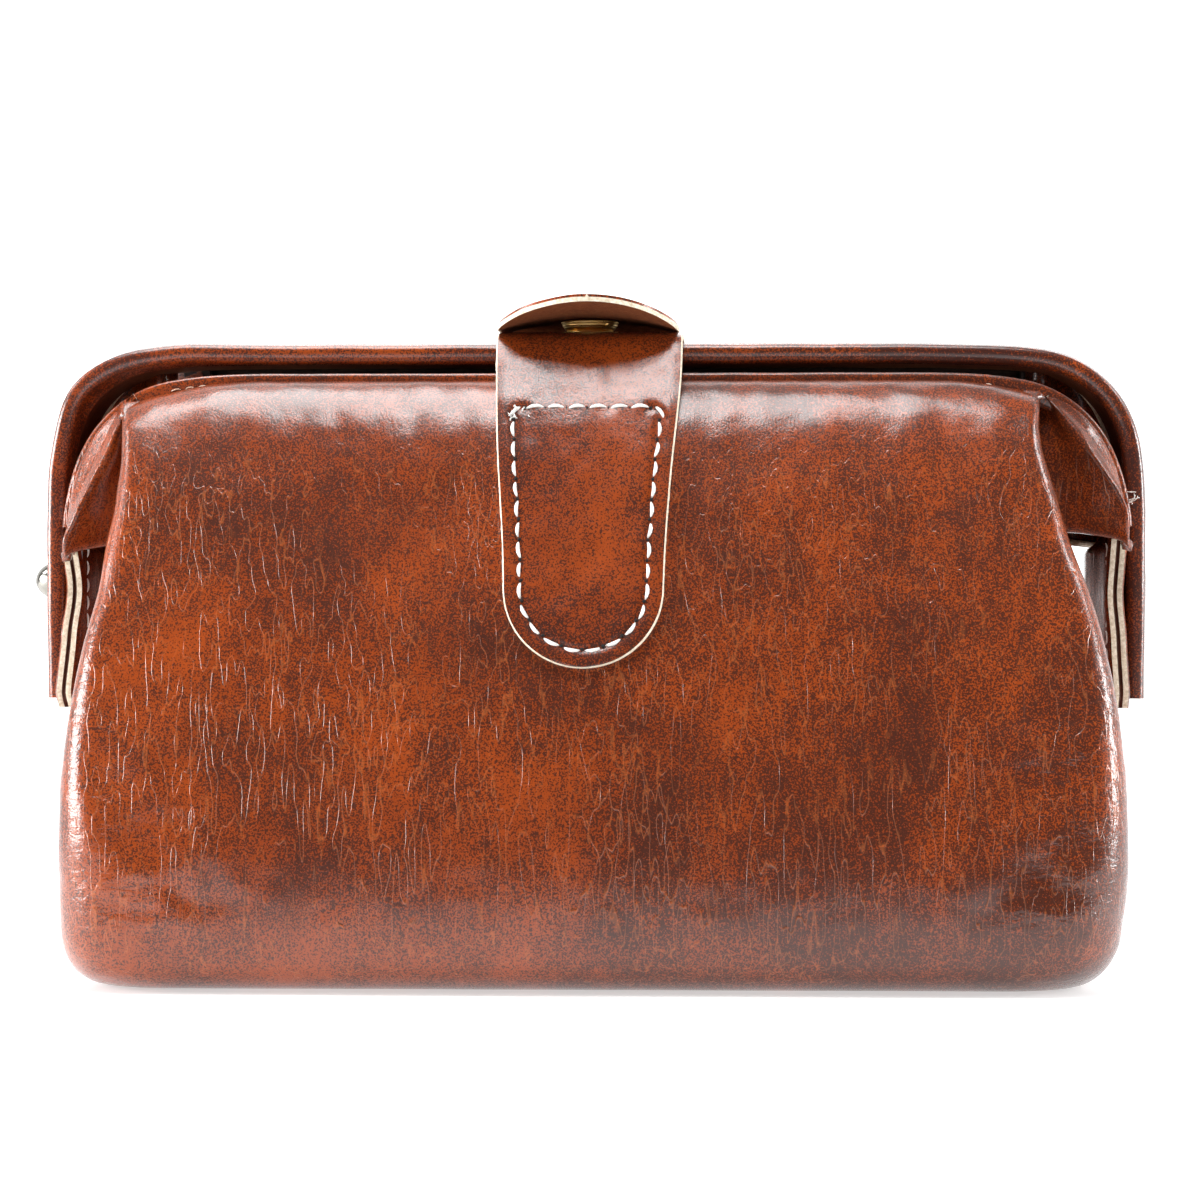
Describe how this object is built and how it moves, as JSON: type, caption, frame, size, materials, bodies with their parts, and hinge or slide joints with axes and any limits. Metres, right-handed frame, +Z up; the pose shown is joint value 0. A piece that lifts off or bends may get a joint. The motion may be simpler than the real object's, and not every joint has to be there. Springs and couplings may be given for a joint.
{
  "type": "cosmetic case",
  "caption": "Soft leather cosmetic case with a wide hinged frame mouth, folded gussets and a snap strap closure.",
  "frame": {"origin": "middle of the flat base", "axes": "+X to the right seen from the front, -Y to the front, +Z up"},
  "size_m": [0.2486, 0.1, 0.1508],
  "materials": {
    "tan_leather": "glossy glazed",
    "brown_facing": "satin",
    "lining_fabric": "matt",
    "base_board": "matt",
    "frame_steel": "zinc plated",
    "rivet_steel": "polished",
    "snap_brass": "polished"
  },
  "bodies": {
    "bag_body": {"base_panel": "tan_leather", "front_panel": "tan_leather", "back_panel": "tan_leather", "left_gusset": "tan_leather", "right_gusset": "tan_leather", "left_gusset_lining": "lining_fabric", "right_gusset_lining": "lining_fabric", "tub_lining": "lining_fabric", "base_board": "base_board", "left_hinge_rivet": "rivet_steel", "left_rivet_cap": "rivet_steel", "right_hinge_rivet": "rivet_steel", "right_rivet_cap": "rivet_steel"},
    "front_frame": {"front_panel_upper": "tan_leather", "front_lining_upper": "lining_fabric", "front_left_ear": "tan_leather", "front_right_ear": "tan_leather", "front_frame_bar": "frame_steel", "front_frame_sleeve": "tan_leather", "front_frame_facing": "brown_facing", "left_hinge_tab": "brown_facing", "right_hinge_tab": "brown_facing", "closure_tab": "tan_leather", "closure_tab_top": "tan_leather", "snap_post": "snap_brass", "snap_stud": "snap_brass"},
    "back_frame": {"back_panel_upper": "tan_leather", "back_lining_upper": "lining_fabric", "back_left_ear": "tan_leather", "back_right_ear": "tan_leather", "back_frame_bar": "frame_steel", "back_frame_cover": "tan_leather", "back_frame_facing": "brown_facing", "strap_root": "tan_leather", "strap_foot": "tan_leather"},
    "closure_strap_end": {"closure_strap": "tan_leather", "snap_socket": "snap_brass", "snap_cap": "snap_brass"}
  },
  "joints": [
    {"name": "front_frame_open", "type": "hinge", "parent": "bag_body", "child": "front_frame", "pos_m": [0, 0, 0.089], "axis": [1, 0, 0], "range_deg": [0, 75], "deforming": ["front_panel_upper", "front_lining_upper", "closure_tab", "front_left_ear", "front_right_ear"]},
    {"name": "back_frame_open", "type": "hinge", "parent": "bag_body", "child": "back_frame", "pos_m": [0, 0, 0.089], "axis": [-1, 0, 0], "range_deg": [0, 75], "deforming": ["back_panel_upper", "back_lining_upper", "strap_foot", "back_left_ear", "back_right_ear"]},
    {"name": "closure_strap_lift", "type": "hinge", "parent": "back_frame", "child": "closure_strap_end", "pos_m": [0, 0.0176, 0.1436], "axis": [-1, 0, 0], "range_deg": [0, 150]}
  ]
}
